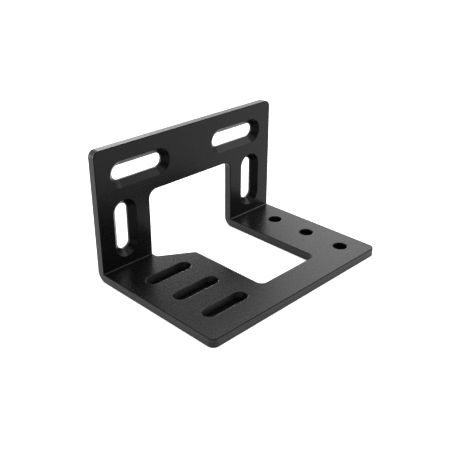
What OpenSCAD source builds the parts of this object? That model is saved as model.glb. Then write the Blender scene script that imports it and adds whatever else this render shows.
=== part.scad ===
// L bracket folded from one thick plate, with countersunk slots in the upright.
// X runs across the width, the upright stands at the back (+Y) and the base lies on Z = 0.

/* [Plate] */
// Width across both legs
bracket_w = 104; // [96:1:140]
// Depth of the base, from the back of the upright to the front edge
base_d = 71.5; // [68:0.5:110]
// Height of the upright above the underside of the base
upright_h = 59.5; // [56:0.5:90]
// Thickness of the plate
plate_t = 4; // [3:0.5:6]
// Inside radius of the fold
fold_r = 0.5; // [0.4:0.1:2]
// Radius of the four outer corners
corner_r = 3; // [1:0.5:8]
// Width of the 45 degree break along the plate's edges
edge_break = 0.3; // [0.1:0.05:0.5]

/* [Window] */
// Width of the window between the two legs
window_w = 50; // [40:1:52]
// Height of the window's top edge above the underside
window_top = 34.8; // [28:0.1:38]
// Radius of the window's two top corners
window_top_r = 4; // [1:0.5:8]
// Width of the bar left across the front of the base
front_bar = 14.5; // [10:0.5:18]
// Radius of the window's two front corners
window_front_r = 3; // [1:0.5:6]

/* [Pad] */
// Width of the pad, from the left side to the edge beside the window
pad_w = 42.3; // [40:0.1:48]
// Distance from the back to where the pad's slanted edge leaves the leg
slant_root = 7; // [6.5:0.5:9]
// Distance from the back to the nose of the pad
slant_nose = 16.5; // [13:0.5:18]
// Radius at both ends of the slanted edge
slant_r = 1.5; // [0.5:0.5:2]

/* [Upright slots] */
// Width of a slot behind its countersink
slot_w = 6.5; // [5:0.5:7]
// Width of a countersink at the front face
countersink_w = 12; // [9:0.5:12]
// Distance between the end centres of a level slot at the top
top_slot_run = 20; // [12:0.5:22]
// Distance between the centres of the two level slots
top_slot_spacing = 57.5; // [50:0.5:62]
// Height of the level slots
top_slot_z = 46.7; // [46:0.1:48]
// Distance between the end centres of an upright slot in a leg
leg_slot_run = 15; // [8:0.5:16]
// Distance between the centres of the two upright slots
leg_slot_spacing = 77; // [74:0.5:82]
// Height of the middle of the upright slots
leg_slot_z = 21.7; // [21:0.1:23]

/* [Base slots and holes] */
// Distance from the back to the middle of both rows
row_from_back = 39.4; // [38:0.1:42]
// Width of a slot in the pad
pad_slot_w = 6.5; // [5:0.5:8]
// Distance between the end centres of a slot in the pad
pad_slot_run = 17; // [10:0.5:20]
// Distance from the left side to the middle of the pad's slots
pad_slot_inset = 21; // [19:0.5:22]
// Distance between neighbouring slots in the pad
pad_slot_pitch = 17.2; // [14:0.1:18]
// Number of slots in the pad
pad_slots = 3; // [1:1:3]
// Diameter of a hole in the right arm
hole_d = 6.5; // [5:0.5:8]
// Distance from the right side to the holes
hole_inset = 11; // [8:0.5:14]
// Distance between neighbouring holes
hole_pitch = 20; // [14:0.5:20]
// Number of holes in the right arm
holes = 3; // [1:1:3]

/* [Hidden] */
$fn = 96;
plate_colour = "#2b2c2d";
// How far cutters reach out of the plate
reach = 0.4;
// How far an arc passes the two sides that it joins, so that it crosses them
hair = 0.002;
// Distance of the fold's centre line from the back face and from the underside
fold_c = plate_t + fold_r;
side_x = bracket_w / 2;
window_x = window_w / 2;
back_y = base_d / 2;
front_y = -base_d / 2;
fold_y = back_y - fold_c;
pad_edge_x = pad_w - side_x;
row_y = back_y - row_from_back;

// Outlines run with the plate on their left. Each point is [x, y, corner radius].
upright_rim = [
    [side_x, fold_c, 0], [side_x, upright_h, corner_r],
    [-side_x, upright_h, corner_r], [-side_x, fold_c, 0]
];
upright_window = [
    [-window_x, fold_c, 0], [-window_x, window_top, window_top_r],
    [window_x, window_top, window_top_r], [window_x, fold_c, 0]
];
base_rim = [
    [-side_x, fold_y, 0], [-side_x, front_y, corner_r],
    [side_x, front_y, corner_r], [side_x, fold_y, 0]
];
base_window = [
    [window_x, fold_y, 0], [window_x, front_y + front_bar, window_front_r],
    [pad_edge_x, front_y + front_bar, window_front_r], [pad_edge_x, back_y - slant_nose, slant_r],
    [-window_x, back_y - slant_root, slant_r], [-window_x, fold_y, 0]
];
// Section of what is cut off an edge: into the plate, and up from its face
break_section = [
    [edge_break + reach, reach], [-reach, reach], [-reach, -edge_break - reach]
];

function flat(p) = [p.x, p.y];
function heading(a, b) = atan2(b.y - a.y, b.x - a.x);
function toward(a, b) = flat(b - a) / norm(flat(b - a));
function left_of(d) = [-d.y, d.x];
// Turn at b on the way from a to c, in degrees, positive to the left
function turn(a, b, c) = let (d = toward(a, b), e = toward(b, c)) atan2(cross(d, e), d * e);
// How far the arc at b reaches along its two straight sides
function setback(a, b, c) = b[2] * tan(abs(turn(a, b, c)) / 2);
function arc_start(a, b, c) = flat(b) - setback(a, b, c) * toward(a, b);
function arc_end(a, b, c) = flat(b) + setback(a, b, c) * toward(b, c);
function arc_centre(a, b, c) = arc_start(a, b, c) + b[2] * sign(turn(a, b, c)) * left_of(toward(a, b));
// Length at each end of an arc of radius r in which it and its side run into each other
function lap(r) = 2 * sqrt(2 * r * hair);

// The sharp tip between the corner at b and its arc, and a little of what lies past its sides
module corner_tip(a, b, c) {
    spread = (b[2] + reach / 2) / b[2];
    translate(arc_centre(a, b, c)) difference() {
        polygon([
            for (p = [flat(b), arc_end(a, b, c), arc_centre(a, b, c), arc_start(a, b, c)])
                spread * (p - arc_centre(a, b, c))
        ]);
        circle(b[2] + hair);
    }
}

// Closed outline with every corner rounded to its own radius
module rounded_outline(points) {
    n = len(points);
    triples = [for (i = [0:n - 1]) [points[(i + n - 1) % n], points[i], points[(i + 1) % n]]];
    difference() {
        union() {
            polygon([for (p = points) flat(p)]);
            for (t = triples) {
                if (t[1][2] > 0 && turn(t[0], t[1], t[2]) < 0) corner_tip(t[0], t[1], t[2]);
            }
        }
        for (t = triples) {
            if (t[1][2] > 0 && turn(t[0], t[1], t[2]) > 0) corner_tip(t[0], t[1], t[2]);
        }
    }
}

// What is cut off one straight edge at the top face, from p to q
module straight_break(p, q) {
    translate(p) rotate(heading(p, q)) rotate([90, 0, 90])
        linear_extrude(norm(q - p)) polygon(break_section);
}

// What is cut off the rounded edge at b, lapping onto its sides where it curves away from the plate
module arc_break(a, b, c) {
    angle = turn(a, b, c);
    centre = arc_centre(a, b, c);
    extra = angle < 0 ? lap(b[2]) / b[2] * 180 / PI : 0;
    translate(centre) rotate(heading(centre, arc_start(a, b, c)) + min(angle, 0) - extra)
        rotate_extrude(angle = abs(angle) + 2 * extra)
            polygon([for (p = break_section) [b[2] + hair - sign(angle) * p.x, p.y]]);
}

// Breaks all along an open line of edges, on the face at z = 0
module edge_breaks(line) {
    last = len(line) - 1;
    for (i = [1:last]) {
        a = line[i - 1];
        b = line[i];
        p = i == 1 ? flat(a) : arc_end(line[i - 2], a, b);
        q = i == last ? flat(b) : arc_start(a, b, line[i + 1]);
        before = i > 1 && turn(line[i - 2], a, b) > 0 ? lap(a[2]) : 0;
        after = i < last && turn(a, b, line[i + 1]) > 0 ? lap(b[2]) : 0;
        straight_break(p - before * toward(a, b), q + after * toward(a, b));
    }
    for (i = [1:last - 1]) {
        arc_break(line[i - 1], line[i], line[i + 1]);
    }
}

// One flat part of the plate, from z = 0 to its thickness
module flat_plate(rim, window) {
    difference() {
        linear_extrude(plate_t) rounded_outline(concat(rim, window));
        for (line = [rim, window]) {
            translate([0, 0, plate_t]) edge_breaks(line);
            mirror([0, 0, 1]) edge_breaks(line);
        }
    }
}

// A slot's shape that widens at 45 degrees from d wide at z = 0, over a height h
module flare(run, d, h) {
    for (side = [-1, 1]) {
        translate([side * run / 2, 0, 0]) cylinder(h = h, d1 = d, d2 = d + 2 * h);
    }
    if (run > 0) {
        rotate([90, 0, 90]) linear_extrude(run, center = true)
            polygon([[-d / 2, 0], [d / 2, 0], [d / 2 + h, h], [-d / 2 - h, h]]);
    }
}

// Cutter for a slot or hole along X that is d wide, and mouth_d wide at the top face
module slot_cut(run, d, mouth_d) {
    mouth_h = (mouth_d - d) / 2;
    for (side = [-1, 1]) {
        translate([side * run / 2, 0, -reach]) cylinder(h = plate_t + 2 * reach, d = d);
    }
    if (run > 0) {
        translate([-run / 2, -d / 2, -reach]) cube([run, d, plate_t + 2 * reach]);
    }
    translate([0, 0, plate_t - mouth_h]) flare(run, d, mouth_h + reach);
    translate([0, 0, edge_break]) mirror([0, 0, 1]) flare(run, d, edge_break + reach);
}

// Upright, lying with its back face down and its height along Y
module upright_plate() {
    difference() {
        flat_plate(upright_rim, upright_window);
        for (side = [-1, 1]) {
            translate([side * top_slot_spacing / 2, top_slot_z, 0])
                slot_cut(top_slot_run, slot_w, countersink_w);
            translate([side * leg_slot_spacing / 2, leg_slot_z, 0]) rotate(90)
                slot_cut(leg_slot_run, slot_w, countersink_w);
        }
    }
}

// Base with the slotted pad on the left and the drilled arm on the right
module base_plate() {
    difference() {
        flat_plate(base_rim, base_window);
        for (i = [0:pad_slots - 1]) {
            translate([pad_slot_inset - side_x, row_y + (i - (pad_slots - 1) / 2) * pad_slot_pitch, 0])
                slot_cut(pad_slot_run, pad_slot_w, pad_slot_w + 2 * edge_break);
        }
        for (i = [0:holes - 1]) {
            translate([side_x - hole_inset, row_y + (i - (holes - 1) / 2) * hole_pitch, 0])
                slot_cut(0, hole_d, hole_d + 2 * edge_break);
        }
    }
}

// Fold of one leg between two places on X
module fold(x0, x1) {
    b = edge_break;
    section = [
        [fold_r + b, x0], [fold_c - b, x0], [fold_c, x0 + b], [fold_c, x1 - b],
        [fold_c - b, x1], [fold_r + b, x1], [fold_r, x1 - b], [fold_r, x0 + b]
    ];
    translate([0, fold_y, fold_c]) rotate([90, 0, 90]) rotate(-90)
        rotate_extrude(angle = 90) polygon(section);
}

module bracket() {
    color(plate_colour) union() {
        translate([0, back_y, 0]) rotate([90, 0, 0]) upright_plate();
        base_plate();
        fold(-side_x, -window_x);
        fold(window_x, side_x);
    }
}

bracket();
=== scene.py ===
import bmesh
import bpy
import numpy as np
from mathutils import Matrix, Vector


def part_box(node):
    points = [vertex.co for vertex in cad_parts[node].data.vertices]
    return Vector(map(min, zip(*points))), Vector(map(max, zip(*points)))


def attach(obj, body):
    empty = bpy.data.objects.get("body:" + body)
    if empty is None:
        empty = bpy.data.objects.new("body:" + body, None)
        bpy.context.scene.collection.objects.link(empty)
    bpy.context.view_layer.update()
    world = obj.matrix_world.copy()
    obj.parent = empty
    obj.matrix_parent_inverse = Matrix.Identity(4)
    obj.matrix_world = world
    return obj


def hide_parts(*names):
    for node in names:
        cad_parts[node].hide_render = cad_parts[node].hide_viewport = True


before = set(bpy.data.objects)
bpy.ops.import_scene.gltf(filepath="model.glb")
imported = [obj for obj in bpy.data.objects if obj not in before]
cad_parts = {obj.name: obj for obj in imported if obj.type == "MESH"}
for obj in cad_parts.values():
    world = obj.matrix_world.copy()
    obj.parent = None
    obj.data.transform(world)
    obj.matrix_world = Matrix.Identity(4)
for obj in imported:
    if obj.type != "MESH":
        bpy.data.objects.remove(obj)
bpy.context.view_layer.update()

# The plate of an L bracket as the laser leaves it: one flat steel blank with a window, four slots for the
# upright, and three slots and three round holes for the base. Across it runs u. Along it runs v, which is 0
# where the fold starts, negative over the base and positive over the fold and the upright.
MM = 0.001
low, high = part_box("bracket")
width, depth, height = high - low
plate_t = 4 * MM
fold_r = 0.5 * MM
corner_r = 3 * MM
window_w = 50 * MM
window_top = 34.8 * MM
window_top_r = 4 * MM
window_front_r = 3 * MM
front_bar = 14.5 * MM
pad_w = 42.3 * MM
slant_root = 7 * MM
slant_nose = 16.5 * MM
slant_r = 1.5 * MM
slot_w = 6.5 * MM
top_slot_run = 20 * MM
top_slot_spacing = 57.5 * MM
top_slot_z = 46.7 * MM
leg_slot_run = 15 * MM
leg_slot_spacing = 77 * MM
leg_slot_z = 21.7 * MM
row_from_back = 39.4 * MM
pad_slot_w = 6.5 * MM
pad_slot_run = 17 * MM
pad_slot_inset = 21 * MM
pad_slot_pitch = 17.2 * MM
hole_d = 6.5 * MM
hole_inset = 11 * MM
hole_pitch = 20 * MM

ARC_STEPS = 12      # samples along each rounded corner
FOLD_STEPS = 13     # samples over the fold
TINY = 1e-9         # a length below this counts as nothing
fold_out_r = plate_t + fold_r
fold_run = fold_r * np.pi / 2
fold_lines = np.linspace(0, fold_run, FOLD_STEPS)


def base_v(from_back):
    """Place along the blank of a point of the base, given as its distance from the bracket's back."""
    return fold_out_r - from_back


def upright_v(z):
    """Place along the blank of a point of the upright, given as its height."""
    return fold_run + z - fold_out_r


def rounded(chain, steps=ARC_STEPS):
    """Points and normals of the arcs that round a chain of corners, (x, y, radius) each, apart from its two
    ends. Each arc starts r tan(turn / 2) before its corner and turns about a centre r to the side that it
    turns to. The normal points right of the way, and both turn by equal angles from sample to sample."""
    chain = np.array(chain, float)
    at, radius = chain[1:-1, :2], chain[1:-1, 2:]
    way = np.diff(chain[:, :2], axis=0)
    way /= np.linalg.norm(way, axis=1, keepdims=True)
    heading = np.arctan2(way[:, 1], way[:, 0])
    turn = (np.diff(heading) + np.pi) % (2 * np.pi) - np.pi
    start = at - radius * np.tan(np.abs(turn) / 2)[:, None] * way[:-1]
    left = way[:-1] @ [[0, 1], [-1, 0]]
    signed_r = radius * np.sign(turn)[:, None]
    angle = heading[:-1, None] - np.pi / 2 + turn[:, None] * np.linspace(0, 1, steps)
    normals = np.stack([np.cos(angle), np.sin(angle)], axis=-1)
    points = (start + signed_r * left)[:, None] + signed_r[:, None] * normals
    return points.reshape(-1, 2), normals.reshape(-1, 2)


def outline(corners):
    """Closed outline with rounded corners, the plate on its left. A point is added wherever it crosses one of
    the fold's lines, at the share of its straight run that is already behind."""
    points, normals = rounded([corners[-1], *corners, corners[0]])
    ahead = np.roll(points, -1, axis=0)
    apart = np.linalg.norm(ahead - points, axis=1) > TINY
    points, normals = points[apart], normals[apart]
    rise = np.roll(points, -1, axis=0) - points
    steep = np.where(np.abs(rise[:, 1]) > TINY, rise[:, 1], np.inf)
    share = (fold_lines[:, None] - points[:, 1]) / steep
    line, run = np.nonzero((share > 0) & (share < 1))
    part = share[line, run]
    order = np.argsort(np.concatenate([np.arange(len(points)), run + part]))
    points = np.concatenate([points, points[run] + part[:, None] * rise[run]])[order]
    normals = np.concatenate([normals, normals[run]])[order]
    return points, normals


def slot_outline(u, v, along, across, r):
    """Outline of an opening about (u, v): a rectangle that reaches r past along by across on every side, with
    each of its corners rounded by r."""
    a, b = along / 2 + r, across / 2 + r
    return outline([(u - a, v - b, r), (u - a, v + b, r), (u + a, v + b, r), (u + a, v - b, r)])


side_u, window_u = width / 2, window_w / 2
front_v, top_v = base_v(depth), upright_v(height)
pad_u = pad_w - side_u
row_v = base_v(row_from_back)
rim = outline([
    (side_u, front_v, corner_r), (side_u, top_v, corner_r),
    (-side_u, top_v, corner_r), (-side_u, front_v, corner_r),
])
window = outline([
    (window_u, front_v + front_bar, window_front_r), (pad_u, front_v + front_bar, window_front_r),
    (pad_u, base_v(slant_nose), slant_r), (-window_u, base_v(slant_root), slant_r),
    (-window_u, upright_v(window_top), window_top_r), (window_u, upright_v(window_top), window_top_r),
])
upright_slots = [
    slot_outline(side * top_slot_spacing / 2, upright_v(top_slot_z), top_slot_run, 0, slot_w / 2)
    for side in (-1, 1)
] + [
    slot_outline(side * leg_slot_spacing / 2, upright_v(leg_slot_z), 0, leg_slot_run, slot_w / 2)
    for side in (-1, 1)
]
base_openings = [
    slot_outline(pad_slot_inset - side_u, row_v + i * pad_slot_pitch, pad_slot_run, 0, pad_slot_w / 2)
    for i in (-1, 0, 1)
] + [
    slot_outline(side_u - hole_inset, row_v + i * hole_pitch, 0, 0, hole_d / 2) for i in (-1, 0, 1)
]

# Its edges and its fold: a small round runs along every edge, as the coat leaves it where the burrs were
# taken off, and the upright's four slots are countersunk from the front for flat screw heads. The plate is
# then folded forwards at a right angle, both legs at once.
edge_r = 0.3 * MM
countersink_w = 12 * MM
EDGE_STEPS = 5      # samples round each edge
sink = (countersink_w - slot_w) / 2
# The section of an edge, corner by corner: how far out of the plate, how deep under its front, and radius
plain_edge = rounded(
    [(-plate_t, 0, 0), (0, 0, edge_r), (0, plate_t, edge_r), (-plate_t, plate_t, 0)], EDGE_STEPS
)
sunk_edge = rounded(
    [(-2 * sink, 0, 0), (-sink, 0, edge_r), (0, sink, edge_r), (0, plate_t, edge_r), (-plate_t, plate_t, 0)],
    EDGE_STEPS,
)


def fold(u, v, w):
    """Carries points of the blank, w deep under its front face, to the folded plate. The base keeps its
    place. Over the fold, v becomes an angle about the fold's centre line, and a point w deep lies fold_r + w
    from that line. Past it the plate goes straight up."""
    angle = np.clip(v / fold_run, 0, 1) * np.pi / 2
    reach = fold_r + w
    y = high.y - fold_out_r + np.minimum(v, 0) + reach * np.sin(angle)
    z = fold_out_r + np.maximum(v - fold_run, 0) - reach * np.cos(angle)
    return np.stack([u, y, z], axis=-1)


def fold_normal(u, v, w, at_v):
    """Turns a direction on the blank by the fold's angle at at_v."""
    angle = np.clip(at_v / fold_run, 0, 1) * np.pi / 2
    y = v * np.cos(angle) + w * np.sin(angle)
    z = v * np.sin(angle) - w * np.cos(angle)
    return np.stack([u, y, z], axis=-1)


def edge_band(line, profile):
    """Points and normals of one edge: its profile carried along the outline. The profile's first number moves
    a point along the outline's normal, its second one down into the plate."""
    points, normals = line
    offset, slope = profile
    place = points[:, None] + normals[:, None] * offset[:, :1]
    tilt = normals[:, None] * slope[:, :1]
    down = np.broadcast_to(offset[:, 1], place.shape[:2])
    dip = np.broadcast_to(slope[:, 1], place.shape[:2])
    surface = fold(place[..., 0], place[..., 1], down)
    return surface, fold_normal(tilt[..., 0], tilt[..., 1], dip, place[..., 1])


def band_faces(ids):
    """Four-cornered faces of a grid of point numbers, closed round its first direction."""
    ahead = np.roll(ids, -1, axis=0)
    return np.stack([ids[:, :-1], ahead[:, :-1], ahead[:, 1:], ids[:, 1:]], axis=-1).reshape(-1, 4)


def strip_faces(a, b):
    """Four-cornered faces between two rows of point numbers."""
    return np.stack([a[:-1], b[:-1], b[1:], a[1:]], axis=-1)


def fold_row(line, ids, side, face):
    """Numbers of an outline's points over one leg's fold, on one face, in order along v."""
    u, v = line[0].T
    on_fold = np.nonzero((u * side > 0) & (v > -TINY) & (v < fold_run + TINY))[0]
    return ids[on_fold[np.argsort(v[on_fold])], face]


# The surface: a band along every outline, strips between rim and window over the fold, and flat faces between
# the bands. Each band names the share of the coat, further down, that its slanted parts belong to.
bands = [(rim, plain_edge, "edge_turn"), (window, plain_edge, "edge_turn")]
bands += [(line, sunk_edge, "flank_shade") for line in upright_slots]
bands += [(line, plain_edge, None) for line in base_openings]
points, normals, numbers = [], [], []
for line, profile, slanted in bands:
    surface, upward = edge_band(line, profile)
    first = sum(len(p) for p in points)
    numbers.append(np.arange(first, first + surface[..., 0].size).reshape(surface.shape[:2]))
    points.append(surface.reshape(-1, 3))
    normals.append(upward.reshape(-1, 3))
faces = [band_faces(ids) for ids in numbers]
rim_ids, window_ids = numbers[:2]
for side in (-1, 1):
    for face in (0, -1):
        rim_row, window_row = fold_row(rim, rim_ids, side, face), fold_row(window, window_ids, side, face)
        faces.append(strip_faces(rim_row, window_row))

mesh = bpy.data.meshes.new("folded_plate")
mesh.from_pydata(np.concatenate(points).tolist(), [], np.concatenate(faces).tolist())
bm = bmesh.new()
bm.from_mesh(mesh)
open_edges = [e for e in bm.edges if e.is_boundary]
ROUNDING = 1e-7     # most that a mesh's single precision moves a point
# Each flat face, as the axis that it is square to and its place on it
for axis, level in ((2, plate_t), (2, 0), (1, high.y - plate_t), (1, high.y)):
    flat = [e for e in open_edges if all(abs(v.co[axis] - level) < ROUNDING for v in e.verts)]
    bmesh.ops.triangle_fill(bm, use_beauty=True, edges=flat)
bmesh.ops.recalc_face_normals(bm, faces=bm.faces)
bm.to_mesh(mesh)
bm.free()
mesh.shade_smooth()
mesh.normals_split_custom_set_from_vertices(np.concatenate(normals).tolist())

# Three shares that the coat depends on, from 0 on the plate's faces to 1 where they apply in full: where it
# turns over an outer or window edge, where it covers a cut wall, and where it covers a countersink's slanted
# side, whose sheen is lowered there as painted shade.
# The first and last are greatest at 45 degrees. The second falls off quickly where the wall starts to turn.
wall_falloff = 8
point_count = sum(ids.size for ids in numbers)
shares = {name: np.zeros(point_count, np.float32) for name in ("edge_turn", "cut_wall", "flank_shade")}
for ids, (line, profile, slanted) in zip(numbers, bands):
    out, down = profile[1].T
    shares["cut_wall"][ids] = out ** wall_falloff
    if slanted:
        shares[slanted][ids] = np.abs(2 * out * down)
for name, values in shares.items():
    mesh.attributes.new(name, "FLOAT", "POINT").data.foreach_set("value", values)
plate = bpy.data.objects.new("folded_plate", mesh)
bpy.context.scene.collection.objects.link(plate)

# The coat: satin black powder, baked on. Its skin has a fine grain and flows to a slightly uneven gloss. It
# is rougher over the cut walls and turns dull where it is drawn over an edge. In the countersinks its sheen
# is lowered as painted shade, which darkens these hollows.
coat_black, coat_black_pale = (0.0018, 0.0019, 0.0019, 1), (0.0024, 0.0025, 0.0025, 1)
tint_size, tint_detail = 9 * MM, 3
coat_ior = 1.22
coat_roughness = (0.25, 0.29)
gloss_size, gloss_detail = 0.9 * MM, 4
wall_roughness, edge_roughness = 0.42, 0.8
# The countersinks' low sheen is painted shade.
face_sheen, flank_shade_sheen, wall_sheen, edge_sheen = 0.5, 0.15, 0.9, 0.0
grain_size, grain_detail = 0.5 * MM, 2
grain_height = 0.01 * MM
coat = bpy.data.materials.new("satin_black_powder_coat")
coat.use_nodes = True
nodes, links = coat.node_tree.nodes, coat.node_tree.links
shader = nodes["Principled BSDF"]
shader.inputs["IOR"].default_value = coat_ior
own_place = nodes.new("ShaderNodeTexCoord")


def coat_noise(size, detail):
    """Noise with features of about the given size, on the plate's own coordinates."""
    noise = nodes.new("ShaderNodeTexNoise")
    noise.inputs["Scale"].default_value = 1 / size
    noise.inputs["Detail"].default_value = detail
    links.new(own_place.outputs["Object"], noise.inputs["Vector"])
    return noise.outputs["Fac"]


def coat_share(name):
    """One of the plate's three shares, as its points carry it."""
    source = nodes.new("ShaderNodeAttribute")
    source.attribute_name = name
    return source.outputs["Fac"]


def toward(factor, start, full):
    """Goes from the start, a number or a node's output, to the full value as the factor goes from 0 to 1."""
    blend = nodes.new("ShaderNodeMix")
    blend.inputs["B"].default_value = full
    links.new(factor, blend.inputs["Factor"])
    if isinstance(start, float):
        blend.inputs["A"].default_value = start
    else:
        links.new(start, blend.inputs["A"])
    return blend.outputs["Result"]


tint = nodes.new("ShaderNodeMix")
tint.data_type = "RGBA"
tint.inputs["A"].default_value = coat_black
tint.inputs["B"].default_value = coat_black_pale
links.new(coat_noise(tint_size, tint_detail), tint.inputs["Factor"])
links.new(tint.outputs["Result"], shader.inputs["Base Color"])
gloss = nodes.new("ShaderNodeMapRange")
gloss.inputs["To Min"].default_value, gloss.inputs["To Max"].default_value = coat_roughness
links.new(coat_noise(gloss_size, gloss_detail), gloss.inputs["Value"])
flank_shade, wall, edge = coat_share("flank_shade"), coat_share("cut_wall"), coat_share("edge_turn")
roughness = toward(edge, toward(wall, gloss.outputs["Result"], wall_roughness), edge_roughness)
# Low sheen in the countersinks paints shade into them.
sheen = toward(edge, toward(wall, toward(flank_shade, face_sheen, flank_shade_sheen), wall_sheen), edge_sheen)
links.new(roughness, shader.inputs["Roughness"])
links.new(sheen, shader.inputs["Specular IOR Level"])
bump = nodes.new("ShaderNodeBump")
bump.inputs["Distance"].default_value = grain_height
links.new(coat_noise(grain_size, grain_detail), bump.inputs["Height"])
links.new(bump.outputs["Normal"], shader.inputs["Normal"])
mesh.materials.append(coat)
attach(plate, "root")
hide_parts("bracket")

# Studio: a round white light table with a raised rim. It glows, more so away from the bracket, where less
# lamp light falls, so that all of it is white and nothing throws a hard shadow. It is turned from a profile
# of rings, each (distance from the middle, height), and lies a hair below the base.
table_profile = np.array([(0, 0), (0.5, 0), (2, 0), (6, 0), (6, 1.6)])
table_glow = [0.68, 0.68, 1, 1, 1]
table_shade = 0.5
table_drop = 0.1 * MM
TABLE_STEPS = 96    # samples round the table
matt_roughness = 0.9


def studio_piece(name, points, faces, shade):
    """Adds one piece of the studio, of the given shade of grey, matt and without sheen. Returns its mesh, its
    material's nodes and their shader."""
    piece_mesh = bpy.data.meshes.new(name)
    piece_mesh.from_pydata(points, [], faces)
    piece = bpy.data.objects.new(name, piece_mesh)
    bpy.context.scene.collection.objects.link(piece)
    matt = bpy.data.materials.new(name)
    matt.use_nodes = True
    matt_shader = matt.node_tree.nodes["Principled BSDF"]
    matt_shader.inputs["Base Color"].default_value = (shade, shade, shade, 1)
    matt_shader.inputs["Roughness"].default_value = matt_roughness
    matt_shader.inputs["Specular IOR Level"].default_value = 0
    piece_mesh.materials.append(matt)
    return piece_mesh, matt.node_tree, matt_shader


r, z = table_profile.T
turn = np.linspace(0, 2 * np.pi, TABLE_STEPS, endpoint=False)[:, None]
rings = np.stack(np.broadcast_arrays(r * np.cos(turn), r * np.sin(turn), z - table_drop), axis=-1)
ring_ids = np.arange(rings[..., 0].size).reshape(rings.shape[:2])
table_mesh, opal, opal_shader = studio_piece(
    "light_table", rings.reshape(-1, 3).tolist(), band_faces(ring_ids).tolist(), table_shade
)
glow = table_mesh.attributes.new("glow", "FLOAT", "POINT")
glow.data.foreach_set("value", np.tile(table_glow, TABLE_STEPS))
glow_map = opal.nodes.new("ShaderNodeAttribute")
glow_map.attribute_name = "glow"
opal_shader.inputs["Emission Color"].default_value = (1, 1, 1, 1)
opal.links.new(glow_map.outputs["Fac"], opal_shader.inputs["Emission Strength"])

# A black card between the table and the base, cut to stay within the base's outline: painted shade, standing
# in for the shadow under the base. It shows only as the dark foot of the slots and holes, and keeps the
# table's glow out of them.
painted_shade_black = 0.003
shade_card_z = -table_drop / 2
shade_card_margin = 2 * MM
left, right, front = shade_card_margin - side_u, side_u - shade_card_margin, shade_card_margin - depth / 2
bar_back = front_bar - depth / 2 - shade_card_margin
nose_back, root_back = high.y - slant_nose - shade_card_margin, high.y - fold_out_r - 2 * shade_card_margin
shade_card_corners = [
    (left, front), (right, front), (right, root_back), (window_u + shade_card_margin, root_back),
    (window_u + shade_card_margin, bar_back), (pad_u - shade_card_margin, bar_back), (pad_u - shade_card_margin, nose_back),
    (-window_u, root_back), (left, root_back),
]
shade_card_points = [(x, y, shade_card_z) for x, y in shade_card_corners]
# A sheet of painted shade under the base, where its shadow falls.
studio_piece("painted_shade_card", shade_card_points, [range(len(shade_card_corners))], painted_shade_black)

# Three strips of white card, which lie on the black one under the pad's slots and throw light up onto the
# slots' far walls. They stop short of these walls, and so stay out of the camera's sight. The black card left
# bare at the walls' foot is painted shadow cast by the walls.
card_white = 0.85
strip_z = -table_drop / 4
strip_gap = 2.8 * MM
strip_x = pad_slot_inset - side_u + np.array([-1, 1, 1, -1]) * (pad_slot_run + pad_slot_w) / 2
strip_y = high.y - row_from_back - pad_slot_w / 2 + np.array([0, 0, 1, 1]) * (pad_slot_w - strip_gap)
strip_points = [
    (x, y + i * pad_slot_pitch, strip_z) for i in (-1, 0, 1) for x, y in zip(strip_x, strip_y)
]
strip_quads = np.arange(len(strip_points)).reshape(-1, 4).tolist()
studio_piece("white_strips", strip_points, strip_quads, card_white)

# Studio light: round soft boxes, most of them behind the bracket or to its right, so that its level faces
# shine. Each is (bearing from +Y towards +X, elevation, power in watts). Apart from them and the table's glow
# the room is dark.
light_distance = 1.6
light_size = 0.75
soft_boxes = {
    "low_back": (25, 8, 14.0),
    "low_back_right": (45, 8, 2.8),
    "middle_back_right": (45, 22, 1.8),
    "high_back_right": (45, 57, 18.9),
    "middle_right": (65, 22, 2.2),
    "raised_right": (65, 38, 4.6),
    "high_right": (90, 57, 4.0),
    "low_side_right": (100, 20, 4.4),
    "side_right": (118, 37, 15.0),
    "low_front_right": (125, 8, 5.0),
    "high_front_right": (135, 57, 4.0),
    "high_front": (180, 57, 8.5),
    "high_front_left": (225, 57, 8.6),
    "low_back_left": (-50, 8, 20.0),
    "raised_back_left": (-34, 36, 7.0),
    "high_back": (-2, 50, 4.0),
}
for name, (bearing, elevation, power) in soft_boxes.items():
    box = bpy.data.lights.new(name, "AREA")
    box.shape = "DISK"
    box.size = light_size
    box.energy = power
    light = bpy.data.objects.new(name, box)
    bpy.context.scene.collection.objects.link(light)
    b, e = np.radians([bearing, elevation])
    way = Vector((np.sin(b) * np.cos(e), np.cos(b) * np.cos(e), np.sin(e)))
    light.location = way * light_distance
    light.rotation_euler = way.to_track_quat("Z", "Y").to_euler()
    light.visible_camera = False
world = bpy.data.worlds.new("studio")
world.use_nodes = True
world.node_tree.nodes["Background"].inputs["Strength"].default_value = 0
bpy.context.scene.world = world
bpy.context.scene.view_settings.view_transform = "Standard"

# Camera: in front of the bracket's left side and a little above it, where the photograph was taken from. It
# looks down at the middle of the bracket, and its lens is in millimetres.
camera_at = Vector((-0.19725, -0.18788, 0.15640))
camera_aim = Vector((-0.00518, 0.00515, 0.02085))
focal_length = 55.85
camera = bpy.data.objects.new("camera", bpy.data.cameras.new("camera"))
bpy.context.scene.collection.objects.link(camera)
camera.location = camera_at
camera.rotation_euler = (camera_at - camera_aim).to_track_quat("Z", "Y").to_euler()
camera.data.lens = focal_length
camera.data.clip_start = 0.01
bpy.context.scene.camera = camera
